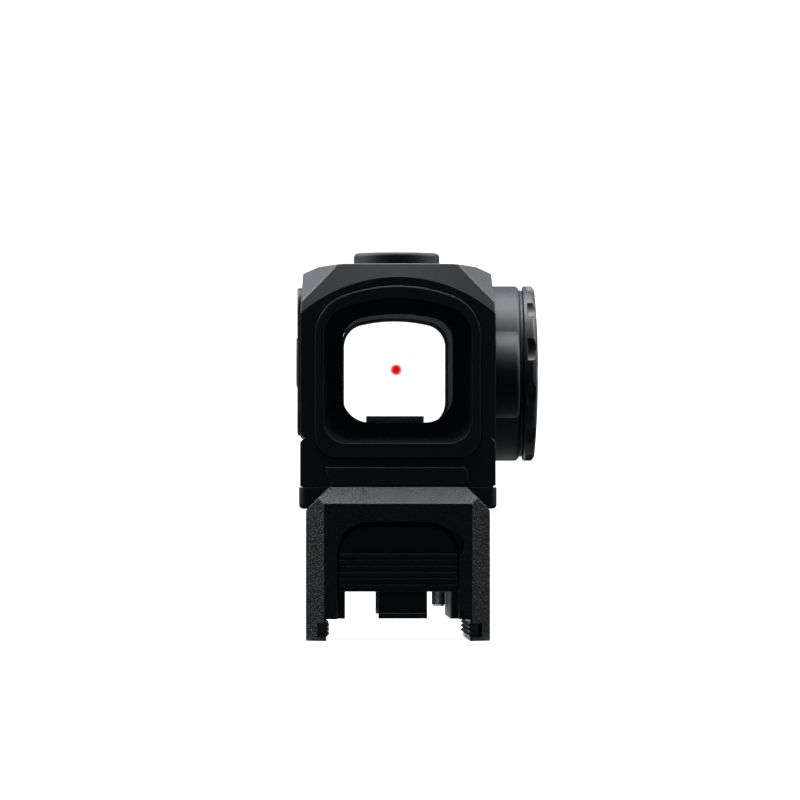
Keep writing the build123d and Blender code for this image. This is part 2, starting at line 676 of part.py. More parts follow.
def button(place_y, arms):
    """A round key with a raised bar sign: one arm for less, two for more."""
    with BuildPart() as key:
        for radius, start, end in ((BUTTON_RADIUS, BUTTON_FACE, -12.85), (4.1, -12.9, -12.45), (1.2, -12.5, -11.95)):
            with BuildSketch(Plane.YZ.offset(start)):
                with Locations((place_y, PLATE_Z)):
                    Circle(radius)
            extrude(amount=end - start)
        fillet(key.edges().group_by(Axis.X)[0], 0.25)
        with BuildSketch(Plane.YZ.offset(BUTTON_FACE)):
            for turn in range(arms):
                with Locations(Location((place_y, PLATE_Z), 90 * turn)):
                    Rectangle(3.0, 0.6)
        extrude(amount=0.2, mode=Mode.SUBTRACT)
    return key.part


with BuildPart() as up_button:
    add(button(button_places["up"], 2))
up_button.part.label = "up_button"
export_step(up_button.part, "parts/up_button.step")

with BuildPart() as down_button:
    add(button(button_places["down"], 1))
down_button.part.label = "down_button"
export_step(down_button.part, "parts/down_button.step")

with BuildPart() as circuit_board:
    with BuildSketch(Plane.YZ.offset(-10.85)):
        with Locations((PLATE_Y, PLATE_Z)):
            RectangleRounded(PLATE_LENGTH - 6.4, PLATE_HEIGHT - 4.8, 1.9)
    extrude(amount=0.6)
circuit_board.part.label = "circuit_board"
export_step(circuit_board.part, "parts/circuit_board.step")

with BuildPart() as dome_switches:
    with Locations(*[Plane(origin=(-10.86, y, PLATE_Z), z_dir=(-1, 0, 0)) for y in button_places.values()]):
        Cylinder(2.6, 0.2, align=(Align.CENTER, Align.CENTER, Align.MIN))
        with Locations((0, 0, 0.2)):
            Cone(2.2, 1.2, 0.3, align=(Align.CENTER, Align.CENTER, Align.MIN))
dome_switches.part.label = "dome_switches"
export_step(dome_switches.part, "parts/dome_switches.step")

with BuildPart() as board_chips:
    for y, z, length, height in ((0, 5.4, 3, 2), (0, -5.2, 4, 3), (-7, 6, 1.2, 0.8), (7, 6, 1.2, 0.8), (6, -6, 2, 1.2)):
        with Locations((-11.16, PLATE_Y + y, PLATE_Z + z)):
            Box(0.6, length, height)
board_chips.part.label = "board_chips"
export_step(board_chips.part, "parts/board_chips.step")

# ---------------------------------------------------------------- base and adapter plate

with BuildPart() as base_gasket:
    with BuildSketch(Plane.XY.offset(BODY_BASE - 0.2)):
        with Locations((0, (BODY_REAR + 22.6) / 2)):
            RectangleRounded(2 * BODY_HALF - 0.6, 22.6 - BODY_REAR, 1.2)
        with Locations(*sight_screw_places, *peg_places):
            Circle(1.9, mode=Mode.SUBTRACT)
        with Locations(*plate_screw_places):
            Circle(3.2, mode=Mode.SUBTRACT)
    extrude(amount=0.2)
base_gasket.part.label = "base_gasket"
export_step(base_gasket.part, "parts/base_gasket.step")

with BuildPart() as adapter_plate:
    with BuildSketch(Plane.XY.offset(DECK_Z)):
        with Locations((0, (BODY_REAR - 0.05 + 23.0) / 2)):
            RectangleRounded(2 * PLATE_HALF, 23.05 - BODY_REAR, 1.0)
    extrude(amount=BODY_BASE - 0.2 - DECK_Z)
    fillet(adapter_plate.faces().sort_by(Axis.Z)[0].edges(), 0.6)
    with BuildSketch(Plane.XY.offset(DECK_Z)):
        with Locations(*sight_screw_places):
            Circle(1.35)
        with Locations(*plate_screw_places, *peg_places):
            Circle(1.52)
    extrude(amount=4, mode=Mode.SUBTRACT)
    with BuildSketch(Plane.XY.offset(DECK_Z)):
        with Locations(*sight_screw_places):
            Circle(2.3)
    extrude(amount=1.5, mode=Mode.SUBTRACT)
    with BuildSketch(Plane.XY.offset(BODY_BASE - 0.2)):
        with Locations(*plate_screw_places):
            Circle(2.85)
    extrude(amount=-1.6, mode=Mode.SUBTRACT)
adapter_plate.part.label = "adapter_plate"
export_step(adapter_plate.part, "parts/adapter_plate.step")

# Screws that come up through the plate into the housing, heads under the plate.
with BuildPart() as sight_screws:
    with BuildSketch(Plane.XY.offset(DECK_Z + 0.05)):
        with Locations(*sight_screw_places):
            Circle(2.25)
            RegularPolygon(1.0, 6, mode=Mode.SUBTRACT)
    extrude(amount=1.45)
    with BuildSketch(Plane.XY.offset(DECK_Z + 1.0)):
        with Locations(*sight_screw_places):
            Circle(1.25)
    extrude(amount=6.5)
sight_screws.part.label = "sight_screws"
export_step(sight_screws.part, "parts/sight_screws.step")

# Screws that go down through the plate into the foot, heads sunk in the plate.
with BuildPart() as plate_screws:
    with BuildSketch(Plane.XY.offset(BODY_BASE - 0.3)):
        with Locations(*plate_screw_places):
            Circle(2.8)
            RegularPolygon(1.25, 6, mode=Mode.SUBTRACT)
    extrude(amount=-1.5)
    with BuildSketch(Plane.XY.offset(BODY_BASE - 1.4)):
        with Locations(*plate_screw_places):
            Circle(1.48)
    extrude(amount=-7)
plate_screws.part.label = "plate_screws"
export_step(plate_screws.part, "parts/plate_screws.step")

with BuildPart() as locating_pegs:
    with BuildSketch(Plane.XY.offset(DECK_Z + 0.05)):
        with Locations(*peg_places):
            Circle(1.5)
    extrude(amount=4.7)
    chamfer(locating_pegs.edges().group_by(Axis.Z)[-1], 0.3)
locating_pegs.part.label = "locating_pegs"
export_step(locating_pegs.part, "parts/locating_pegs.step")

# ---------------------------------------------------------------- foot

LATCH_TRAVEL = 2.0
TONGUE_END = -9.0
LATCH_PIN_Y = -12.6
LATCH_PIN_Z = 4.4
LATCH_SPRINGS = [(-4.6, 4.4), (4.6, 4.4)]
HOOK_Y = 20.0
RELIEF = 0.3
LUG_RELIEF_END = -17.1
INDEX_PIN = (6.2, 14.0)

with BuildPart() as riser_block:
    with BuildSketch(section(-FOOT_END)):
        with BuildLine():
            Polyline((0, FOOT_LOW), (FOOT_HALF, FOOT_LOW), (FOOT_HALF, WALL_TOP - SHOULDER),
                     (FOOT_HALF - SHOULDER, WALL_TOP), (0, WALL_TOP))
            mirror(about=Plane.YZ)
        make_face()
    extrude(amount=-2 * FOOT_END)
    # Pocket for the adapter plate, open at the sides and the front.
    with BuildSketch(Plane.XY.offset(DECK_Z)):
        with Locations((0, WALL_THICKNESS / 2 + 0.05)):
            Rectangle(2 * FOOT_HALF + 1, 2 * FOOT_END - WALL_THICKNESS + 0.1)
    extrude(amount=WALL_TOP, mode=Mode.SUBTRACT)
    # Sloped top edge of the rear wall and the facets on the upright corners.
    chamfer(riser_block.faces().sort_by(Axis.Y)[0].edges().sort_by(Axis.Z)[-1], BEVEL)
    for side in (1, -1):
        corner = Plane(origin=(side * (FOOT_HALF - CORNER_FACET), -FOOT_END, 0),
                       x_dir=(0, 0, 1), z_dir=(side, -1, 0))
        split(bisect_by=corner, keep=Keep.BOTTOM)
    chamfer(riser_block.faces().sort_by(Axis.Y)[-1].edges().filter_by(Axis.Z), 1.5)
    # Rail channel: the seat, then the wider space between the legs.
    for half, top in ((CHANNEL_HALF, 0), (LEG_INNER, LEDGE_Z)):
        with BuildSketch(Plane.XY.offset(FOOT_LOW)):
            Rectangle(2 * half, 2 * FOOT_END + 2)
        extrude(amount=top - FOOT_LOW, mode=Mode.SUBTRACT)
    # Arched recess for the latch, with a finger scallop at its upper right.
    with BuildSketch(section(-FOOT_END - 1)):
        add(screen(RECESS_HALF, LEDGE_Z - 1, RECESS_TOP, 0.2, 4.2, 0.3))
    extrude(amount=-RECESS_DEPTH - 1, mode=Mode.SUBTRACT)
    with BuildSketch(section(-FOOT_END - 1)):
        with Locations((7.25, 6.4)):
            Circle(1.9)
    extrude(amount=-2.2, mode=Mode.SUBTRACT)
    # Guide for the latch's tongue, spring holes, and the cross hole for its pin.
    with BuildSketch(section(-FOOT_END + RECESS_DEPTH)):
        with Locations((0, LATCH_PIN_Z)):
            Rectangle(5.2, 3.2)
    extrude(amount=-FOOT_END + RECESS_DEPTH - TONGUE_END - LATCH_TRAVEL - 0.3, mode=Mode.SUBTRACT)
    with BuildSketch(section(-FOOT_END + RECESS_DEPTH)):
        with Locations(*LATCH_SPRINGS):
            Circle(1.6)
    extrude(amount=-3.2, mode=Mode.SUBTRACT)
    with BuildSketch(Plane.YZ.offset(-FOOT_HALF)):
        with Locations((LATCH_PIN_Y, LATCH_PIN_Z)):
            Circle(0.8)
    extrude(amount=2 * FOOT_HALF, mode=Mode.SUBTRACT)
    # Shallow reliefs in the seat, over the toes of the hook and of the latch's lug.
    for start, end in ((-FOOT_END, LUG_RELIEF_END), (HOOK_Y - 2.6, HOOK_Y + 3.1)):
        with Locations((0.65, (start + end) / 2, 0)):
            Box(7.1, end - start, 2 * RELIEF, mode=Mode.SUBTRACT)
    # Screw, hook and index pin holes.
    with BuildSketch(Plane.XY.offset(DECK_Z)):
        with Locations(*plate_screw_places):
            Circle(1.5)
    extrude(amount=-5.3, mode=Mode.SUBTRACT)
    with BuildSketch(Plane.XY):
        with Locations((0.65, HOOK_Y)):
            Circle(1.02)
        with Locations(INDEX_PIN):
            Circle(1.17)
    extrude(amount=4, mode=Mode.SUBTRACT)
    # Gib pockets in the legs, and the holes for their screws.
    for side, depth in ((-1, GIB_THICKNESS), (1, GIB_THICKNESS + GIB_TRAVEL + 0.05)):
        with Locations((side * (LEG_INNER + (depth - 1) / 2), 0, SET_SCREW_Z)):
            Box(depth + 1, 2 * FOOT_END + 1, 1.9, mode=Mode.SUBTRACT)
    for station in SET_SCREW_STATIONS:
        with Locations((0, station, SET_SCREW_Z)):
            Cylinder(1.03, 2 * FOOT_HALF + 1, rotation=(0, 90, 0), mode=Mode.SUBTRACT)
riser_block.part.label = "riser_block"
export_step(riser_block.part, "parts/riser_block.step")

# Latch: ribbed thumb plate, two tabs, the lug that catches the rail, and a guide tongue.
with BuildPart() as latch:
    with BuildSketch(section(-22.7)):
        add(screen(RECESS_HALF - 0.3, LEDGE_Z + 0.1, RECESS_TOP - 0.65, 0.2, 3.9, 0.3))
    extrude(amount=-2.4)
    with BuildSketch(section(-22.7)):
        with Locations((0, 2.6)):
            Rectangle(2 * RECESS_HALF - 0.6, 5.2)
    extrude(amount=0.55)
    with BuildSketch(section(-23.2)):
        with Locations(*[(0, 0.75 + 0.85 * row) for row in range(6)]):
            Rectangle(2 * RECESS_HALF - 0.6, 0.42)
    extrude(amount=0.3)
    for low, high in ((-7.3, -2.7), (4.0, 7.3)):
        with Locations(((low + high) / 2, -21.5, LEDGE_Z / 2 - 0.5)):
            Box(high - low, 6, -LEDGE_Z + 1, mode=Mode.SUBTRACT)
    # Lug, with a toe that hooks under the rail slot's edge.
    with BuildSketch(Plane.YZ.offset(-2.7)):
        with BuildLine():
            Polyline((-22.6, 1), (-22.6, -2.4), (-23.3, -3.0), (-23.3, -3.7), (-19.8, -3.7), (-19.2, -3.1),
                     (-19.2, -0.3), (-20.3, -0.3), (-20.3, 1), close=True)
        make_face()
    extrude(amount=6.7)
    with Locations((0, (-20.4 + TONGUE_END) / 2, LATCH_PIN_Z)):
        Box(5.0, TONGUE_END + 20.4, 3.0)
    with BuildSketch(Plane.YZ.offset(-3)):
        with Locations((LATCH_PIN_Y - LATCH_TRAVEL / 2, LATCH_PIN_Z)):
            SlotCenterToCenter(LATCH_TRAVEL + 0.2, 1.7)
    extrude(amount=6, mode=Mode.SUBTRACT)
latch.part.label = "latch"
export_step(latch.part, "parts/latch.step")

with BuildPart() as latch_springs:
    for x, z in LATCH_SPRINGS:
        with Locations(Plane(origin=(x, -20.25, z), x_dir=(1, 0, 0), z_dir=(0, 1, 0))):
            add(coil(1.3, 0.35, 5.6, 6))
latch_springs.part.label = "latch_springs"
export_step(latch_springs.part, "parts/latch_springs.step")

with BuildPart() as latch_pin:
    with BuildSketch(Plane.YZ.offset(-FOOT_HALF + 0.1)):
        with Locations((LATCH_PIN_Y, LATCH_PIN_Z)):
            Circle(0.79)
    extrude(amount=2 * FOOT_HALF - 0.2)
    chamfer(latch_pin.edges(), 0.15)
latch_pin.part.label = "latch_pin"
export_step(latch_pin.part, "parts/latch_pin.step")

# Fixed hook at the front of the channel, its toe pointing forward.
with BuildPart() as front_hook:
    with BuildSketch(Plane.YZ.offset(-2.7)):
        with BuildLine():
            Polyline((HOOK_Y - 2.4, RELIEF), (HOOK_Y - 2.4, -3.1), (HOOK_Y - 1.8, -3.6), (HOOK_Y + 2.9, -3.6),
                     (HOOK_Y + 2.9, -2.9), (HOOK_Y + 2.2, -2.3), (HOOK_Y + 2.2, RELIEF), close=True)
        make_face()
    extrude(amount=6.7)
    with BuildSketch(Plane.XY.offset(-4)):
        with Locations((0.65, HOOK_Y)):
            Circle(1.05)
    extrude(amount=5, mode=Mode.SUBTRACT)
    with BuildSketch(Plane.XY.offset(-4)):
        with Locations((0.65, HOOK_Y)):
            Circle(1.95)
    extrude(amount=1.8, mode=Mode.SUBTRACT)
front_hook.part.label = "front_hook"
export_step(front_hook.part, "parts/front_hook.step")

with BuildPart() as hook_screw:
    with BuildSketch(Plane.XY.offset(-3.5)):
        with Locations((0.65, HOOK_Y)):
            Circle(1.9)
            RegularPolygon(0.85, 6, mode=Mode.SUBTRACT)
    extrude(amount=1.3)
    with BuildSketch(Plane.XY.offset(-2.4)):
        with Locations((0.65, HOOK_Y)):
            Circle(1.0)
    extrude(amount=6.2)
hook_screw.part.label = "hook_screw"
export_step(hook_screw.part, "parts/hook_screw.step")

# Index pin that drops into a notch in the rail's edge.
with BuildPart() as index_pin:
    with BuildSketch(Plane.XY.offset(-2.5)):
        with Locations(INDEX_PIN):
            Circle(0.95)
    extrude(amount=2.5)
    chamfer(index_pin.edges().group_by(Axis.Z)[0], 0.3)
    with BuildSketch(Plane.XY):
        with Locations(INDEX_PIN):
            Circle(1.15)
    extrude(amount=3.8)
index_pin.part.label = "index_pin"
export_step(index_pin.part, "parts/index_pin.step")


def gib(side):
    """A serrated steel strip: three teeth run along the face that grips the rail."""
    back = LEG_INNER + GIB_THICKNESS - 0.02
    teeth = []
    for tooth in range(3):
        top = SET_SCREW_Z + 0.9 - 0.6 * tooth
        teeth += [(side * (LEG_INNER - 0.05), top), (side * (LEG_INNER - 0.45), top - 0.3)]
    low = SET_SCREW_Z - 0.9
    outline = [(side * back, SET_SCREW_Z + 0.9), *teeth, (side * (LEG_INNER - 0.05), low), (side * back, low)]
    with BuildPart() as strip:
        with BuildSketch(section(-GIB_END)):
            with BuildLine():
                Polyline(*outline, close=True)
            make_face()
        extrude(amount=-2 * GIB_END)
        if side < 0:
            with Locations(*[(-back, station, SET_SCREW_Z) for station in SET_SCREW_STATIONS]):
                Cylinder(0.8, 1.6, rotation=(0, 90, 0), mode=Mode.SUBTRACT)
    return strip.part


with BuildPart() as fixed_gib:
    add(gib(-1))
fixed_gib.part.label = "fixed_gib"
export_step(fixed_gib.part, "parts/fixed_gib.step")

with BuildPart() as moving_gib:
    add(gib(1))
moving_gib.part.label = "moving_gib"
export_step(moving_gib.part, "parts/moving_gib.step")


def set_screw(side, station, inner, outer):
    """A headless hex screw lying along X."""
    with BuildPart() as screw:
        with BuildSketch(Plane.YZ.offset(side * inner)):
            with Locations((station, SET_SCREW_Z)):
                Circle(1.0)
        extrude(amount=side * (outer - inner))
        with BuildSketch(Plane.YZ.offset(side * outer)):
            with Locations((station, SET_SCREW_Z)):
                RegularPolygon(0.55, 6)
        extrude(amount=-side * 0.8, mode=Mode.SUBTRACT)
    return screw.part


with BuildPart() as rear_gib_screw:
    add(set_screw(1, SET_SCREW_STATIONS[0], LEG_INNER + GIB_THICKNESS, FOOT_HALF - 0.25))
rear_gib_screw.part.label = "rear_gib_screw"
export_step(rear_gib_screw.part, "parts/rear_gib_screw.step")

with BuildPart() as front_gib_screw:
    add(set_screw(1, SET_SCREW_STATIONS[1], LEG_INNER + GIB_THICKNESS, FOOT_HALF - 0.25))
front_gib_screw.part.label = "front_gib_screw"
export_step(front_gib_screw.part, "parts/front_gib_screw.step")

with BuildPart() as fixed_gib_screws:
    for station in SET_SCREW_STATIONS:
        add(set_screw(-1, station, LEG_INNER + GIB_THICKNESS, FOOT_HALF - 0.2))
fixed_gib_screws.part.label = "fixed_gib_screws"
export_step(fixed_gib_screws.part, "parts/fixed_gib_screws.step")
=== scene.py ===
from math import cos, radians, sin

import bmesh
import bpy
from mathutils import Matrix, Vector


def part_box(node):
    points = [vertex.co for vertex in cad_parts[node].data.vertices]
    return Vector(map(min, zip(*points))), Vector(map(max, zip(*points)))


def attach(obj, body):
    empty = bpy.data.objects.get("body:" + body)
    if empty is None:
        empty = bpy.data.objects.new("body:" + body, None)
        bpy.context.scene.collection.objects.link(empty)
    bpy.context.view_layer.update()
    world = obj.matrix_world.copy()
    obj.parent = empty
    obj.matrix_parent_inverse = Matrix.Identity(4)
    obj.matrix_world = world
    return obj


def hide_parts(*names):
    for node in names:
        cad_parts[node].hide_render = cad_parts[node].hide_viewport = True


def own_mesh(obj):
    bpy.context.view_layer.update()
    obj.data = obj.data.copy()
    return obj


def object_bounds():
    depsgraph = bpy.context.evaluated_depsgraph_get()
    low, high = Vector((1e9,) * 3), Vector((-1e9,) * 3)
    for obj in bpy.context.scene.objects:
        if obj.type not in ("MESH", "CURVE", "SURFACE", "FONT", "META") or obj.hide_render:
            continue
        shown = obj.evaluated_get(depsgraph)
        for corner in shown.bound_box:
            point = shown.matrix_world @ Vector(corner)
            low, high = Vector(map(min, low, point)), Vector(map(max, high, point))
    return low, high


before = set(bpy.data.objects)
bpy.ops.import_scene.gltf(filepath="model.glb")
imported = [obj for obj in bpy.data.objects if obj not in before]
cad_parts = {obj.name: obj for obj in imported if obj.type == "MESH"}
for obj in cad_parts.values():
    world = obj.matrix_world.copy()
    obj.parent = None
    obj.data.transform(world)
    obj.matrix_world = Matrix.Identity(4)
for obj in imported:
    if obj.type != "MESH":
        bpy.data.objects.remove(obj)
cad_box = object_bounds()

MM = 0.001


# Studio. The finder stands on a small white lit plinth with a softbox above it and one
# high on each side, and the room behind the camera is nearly dark, so that its upright
# black faces stay black and only its slopes and broken edges pick up light.
studio = bpy.data.worlds.new("studio")
bpy.context.scene.world = studio
studio.use_nodes = True
nodes, links = studio.node_tree.nodes, studio.node_tree.links
direction = nodes.new("ShaderNodeTexCoord")
split = nodes.new("ShaderNodeSeparateXYZ")
links.new(direction.outputs["Generated"], split.inputs[0])
behind_finder = nodes.new("ShaderNodeMapRange")
behind_finder.interpolation_type = "SMOOTHSTEP"
behind_finder.inputs["From Min"].default_value = 0.55
behind_finder.inputs["From Max"].default_value = 1.0
behind_finder.inputs["To Min"].default_value = 0.06
behind_finder.inputs["To Max"].default_value = 0.4
links.new(split.outputs["Y"], behind_finder.inputs["Value"])
ray = nodes.new("ShaderNodeLightPath")
unreflected = nodes.new("ShaderNodeMath")
unreflected.operation = "LESS_THAN"
unreflected.inputs[1].default_value = 0.5
links.new(ray.outputs["Glossy Depth"], unreflected.inputs[0])
through_glass = nodes.new("ShaderNodeMath")
through_glass.operation = "MULTIPLY"
links.new(ray.outputs["Is Transmission Ray"], through_glass.inputs[0])
links.new(unreflected.outputs[0], through_glass.inputs[1])
seen = nodes.new("ShaderNodeMath")
seen.operation = "MAXIMUM"
links.new(ray.outputs["Is Camera Ray"], seen.inputs[0])
links.new(through_glass.outputs[0], seen.inputs[1])
brightness = nodes.new("ShaderNodeMix")
links.new(seen.outputs[0], brightness.inputs["Factor"])
links.new(behind_finder.outputs[0], brightness.inputs["A"])
brightness.inputs["B"].default_value = 1.6
links.new(brightness.outputs["Result"], nodes["Background"].inputs["Strength"])
tint = nodes.new("ShaderNodeMix")
tint.data_type = "RGBA"
tint.inputs["A"].default_value = (0.8, 0.93, 1.0, 1.0)
tint.inputs["B"].default_value = (1.0, 1.0, 1.0, 1.0)
links.new(seen.outputs[0], tint.inputs["Factor"])
links.new(tint.outputs["Result"], nodes["Background"].inputs["Color"])

for name, place, energy in (("overhead_softbox", (0.0, 0.06, 0.55), 5.0),
                            ("left_softbox", (-0.4, 0.12, 0.36), 4.4),
                            ("right_softbox", (0.4, 0.12, 0.36), 3.4)):
    softbox = bpy.data.lights.new(name, "AREA")
    softbox.shape = "RECTANGLE"
    softbox.size = 0.36
    softbox.size_y = 0.3
    softbox.energy = energy
    softbox.color = (0.93, 0.97, 1.0)
    hung = bpy.data.objects.new(name, softbox)
    bpy.context.scene.collection.objects.link(hung)
    hung.location = place
    hung.rotation_euler = (Vector((0, 0, 0.03)) - hung.location).to_track_quat("-Z", "Y").to_euler()

bpy.context.scene.view_settings.view_transform = "Standard"

CAMERA_DISTANCE = 1.0
VIEW_WIDTH = 110.3 * MM                       # across the view, at the finder's rear face
aim = Vector((0.28 * MM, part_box("housing")[0].y, 26.4 * MM))
look = Vector((sin(radians(0.74)), cos(radians(0.74)), sin(radians(0.9)))).normalized()
lens = bpy.data.cameras.new("camera")
lens.sensor_width = 36.0
lens.lens = lens.sensor_width * CAMERA_DISTANCE / VIEW_WIDTH
lens.clip_start = 0.01
camera = bpy.data.objects.new("camera", lens)
bpy.context.scene.collection.objects.link(camera)
camera.location = aim - CAMERA_DISTANCE * look
camera.rotation_euler = look.to_track_quat("-Z", "Y").to_euler()
bpy.context.scene.camera = camera

PLINTH_HALF = 14 * MM
PLINTH_BACK = 60 * MM
plinth_top = cad_box[0][2]
plinth_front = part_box("riser_block")[0].y + 2 * MM
plinth_mesh = bpy.data.meshes.new("light_plinth")
plinth_mesh.from_pydata([(-PLINTH_HALF, plinth_front, plinth_top), (PLINTH_HALF, plinth_front, plinth_top),
                         (PLINTH_HALF, PLINTH_BACK, plinth_top), (-PLINTH_HALF, PLINTH_BACK, plinth_top)],
                        [], [(0, 1, 2, 3)])
opal = bpy.data.materials.new("opal_acrylic")
opal.use_nodes = True
shader = opal.node_tree.nodes["Principled BSDF"]
shader.inputs["Base Color"].default_value = (0.5, 0.5, 0.5, 1)
shader.inputs["Roughness"].default_value = 0.9
shader.inputs["Emission Color"].default_value = (1, 1, 1, 1)
shader.inputs["Emission Strength"].default_value = 0.95
plinth_mesh.materials.append(opal)
light_plinth = bpy.data.objects.new("light_plinth", plinth_mesh)
bpy.context.scene.collection.objects.link(light_plinth)


# Housing: one block of aluminium, milled, its edges broken with a deburring tool,
# blasted with fine glass bead and hard anodised black. The broken edges are coloured paler: partly rubbed
# wear, partly a painted highlight.
def blasted_black(name, tone, roughness, pit, depth):
    """Bead-blasted black anodising, its pits that wide and deep in metres."""
    finish = bpy.data.materials.new(name)
    finish.use_nodes = True
    nodes, links = finish.node_tree.nodes, finish.node_tree.links
    shader = nodes["Principled BSDF"]
    place = nodes.new("ShaderNodeTexCoord")
    pits = nodes.new("ShaderNodeTexNoise")
    pits.inputs["Scale"].default_value = 1 / pit
    pits.inputs["Detail"].default_value = 3.0
    pits.inputs["Roughness"].default_value = 0.6
    dye = nodes.new("ShaderNodeTexNoise")
    dye.inputs["Scale"].default_value = 180.0
    dye.inputs["Detail"].default_value = 4.0
    for pattern in (pits, dye):
        links.new(place.outputs["Object"], pattern.inputs["Vector"])
    speckle = nodes.new("ShaderNodeValToRGB")
    speckle.color_ramp.elements[0].position = 0.36
    speckle.color_ramp.elements[0].color = (*(0.6 * c for c in tone), 1)
    speckle.color_ramp.elements[1].position = 0.66
    speckle.color_ramp.elements[1].color = (*(1.7 * c for c in tone), 1)
    links.new(pits.outputs["Fac"], speckle.inputs["Fac"])
    clouded = nodes.new("ShaderNodeMix")
    clouded.data_type = "RGBA"
    clouded.blend_type = "MULTIPLY"
    clouded.inputs["Factor"].default_value = 0.4
    links.new(speckle.outputs["Color"], clouded.inputs["A"])
    links.new(dye.outputs["Fac"], clouded.inputs["B"])
    links.new(clouded.outputs["Result"], shader.inputs["Base Color"])
    sheen = nodes.new("ShaderNodeMapRange")
    sheen.inputs["From Min"].default_value = 0.3
    sheen.inputs["From Max"].default_value = 0.7
    sheen.inputs["To Min"].default_value = roughness - 0.1
    sheen.inputs["To Max"].default_value = roughness + 0.12
    links.new(pits.outputs["Fac"], sheen.inputs["Value"])
    links.new(sheen.outputs[0], shader.inputs["Roughness"])
    bump = nodes.new("ShaderNodeBump")
    bump.inputs["Distance"].default_value = depth
    bump.inputs["Strength"].default_value = 1.0
    links.new(pits.outputs["Fac"], bump.inputs["Height"])
    links.new(bump.outputs["Normal"], shader.inputs["Normal"])
    return finish


ONE_FLAT = radians(0.2)                       # parts of one flat face turn by less than this
FACET_TURN = radians(0.3)                     # facets of a curved face turn by more than this
CORNER_TURN = radians(13)                     # and by less than this
FACET_WIDTH = 2.6 * MM                        # and are narrower than this
CURVED_RIM = 0.35                             # with this share of their rim on the curve, or more


def deburred(node, body, finish, width, inside=None, sharper_than=28, left_crisp=None):
    """A node's own shape with its edges sharper than so many degrees broken.

    inside is (finish, test of a face) for faces that differ, left_crisp a test of an edge's middle.
    """
    built = bmesh.new()
    built.from_mesh(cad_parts[node].data)
    bmesh.ops.remove_doubles(built, verts=built.verts, dist=1e-6)
    bmesh.ops.dissolve_limit(built, angle_limit=ONE_FLAT, verts=built.verts, edges=built.edges)
    broken = built.edges.layers.float.new("bevel_weight_edge")
    for line in built.edges:
        turn = line.calc_face_angle(0)
        line.smooth = turn < CORNER_TURN
        middle = (line.verts[0].co + line.verts[1].co) / 2
        line[broken] = float(turn > radians(sharper_than) and not (left_crisp and left_crisp(middle)))
    for face in built.faces:
        rim = sum(line.calc_length() for line in face.edges)
        curved = sum(line.calc_length() for line in face.edges
                     if line.smooth and line.calc_face_angle(0) > FACET_TURN)
        face.smooth = curved > CURVED_RIM * rim and 2 * face.calc_area() < FACET_WIDTH * rim
    milled = bpy.data.meshes.new(node + "_milled")
    milled.materials.append(finish)
    milled.materials.append(wear_and_highlight_edge)
    built.to_mesh(milled)
    built.free()
    blank = bpy.data.objects.new(node + "_milled", milled)
    bpy.context.scene.collection.objects.link(blank)
    bevel = blank.modifiers.new("deburring", "BEVEL")
    bevel.width = width
    bevel.segments = 2
    bevel.limit_method = "WEIGHT"
    # bevel faces take the paler edge finish: partly rubbed wear, partly a painted highlight along every
    # broken edge
    bevel.material = 1
    bevel.use_clamp_overlap = False
    bevel.miter_inner = "MITER_SHARP"
    ready = blank.evaluated_get(bpy.context.evaluated_depsgraph_get())
    shape = bpy.data.meshes.new_from_object(ready)
    bpy.data.objects.remove(blank)
    bpy.data.meshes.remove(milled)
    shape.name = node + "_finished"
    if inside:
        shape.materials.append(inside[0])
        for face in shape.polygons:
            if face.material_index == 0 and inside[1](face.center, face.normal):
                face.material_index = 2
    piece = bpy.data.objects.new(node + "_finished", shape)
    bpy.context.scene.collection.objects.link(piece)
    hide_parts(node)
    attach(piece, body)


# paler black for the broken edges: partly rubbed wear, partly a painted highlight
wear_and_highlight_edge = blasted_black("wear_and_highlight_edge", (0.03, 0.035, 0.04), 0.42, 0.2 * MM, 0.005 * MM)
housing_black = blasted_black("housing_black", (0.008, 0.0105, 0.0135), 0.54, 0.11 * MM, 0.010 * MM)
deburred("housing", "sight", housing_black, 0.11 * MM)


# Bezels: milled hoods, pressed into the housing over the windows, the same black
# outside. Inside, the rear hood is a flat soot black that keeps stray light down, and
# the front hood, which the eye sees only at a slant, is glossier.
SIGHT_LINE_Z = 30.9 * MM


def inward(centre, normal):
    """True for a face that looks towards the line of sight."""
    to_axis = Vector((-centre.x, 0, SIGHT_LINE_Z - centre.z))
    return to_axis.length > 1 * MM and normal.dot(to_axis.normalized()) > 0.12


hood_black = blasted_black("hood_black", (0.009, 0.011, 0.0135), 0.5, 0.1 * MM, 0.006 * MM)
soot_black = blasted_black("soot_black", (0.02, 0.027, 0.034), 0.9, 0.3 * MM, 0.01 * MM)
gloss_black = blasted_black("gloss_black", (0.014, 0.02, 0.019), 0.26, 0.3 * MM, 0.004 * MM)
soot_black.node_tree.nodes["Principled BSDF"].inputs["Specular IOR Level"].default_value = 0.12
deburred("rear_bezel", "sight", hood_black, 0.09 * MM, (soot_black, inward))
deburred("front_bezel", "sight", hood_black, 0.09 * MM, (gloss_black, inward))


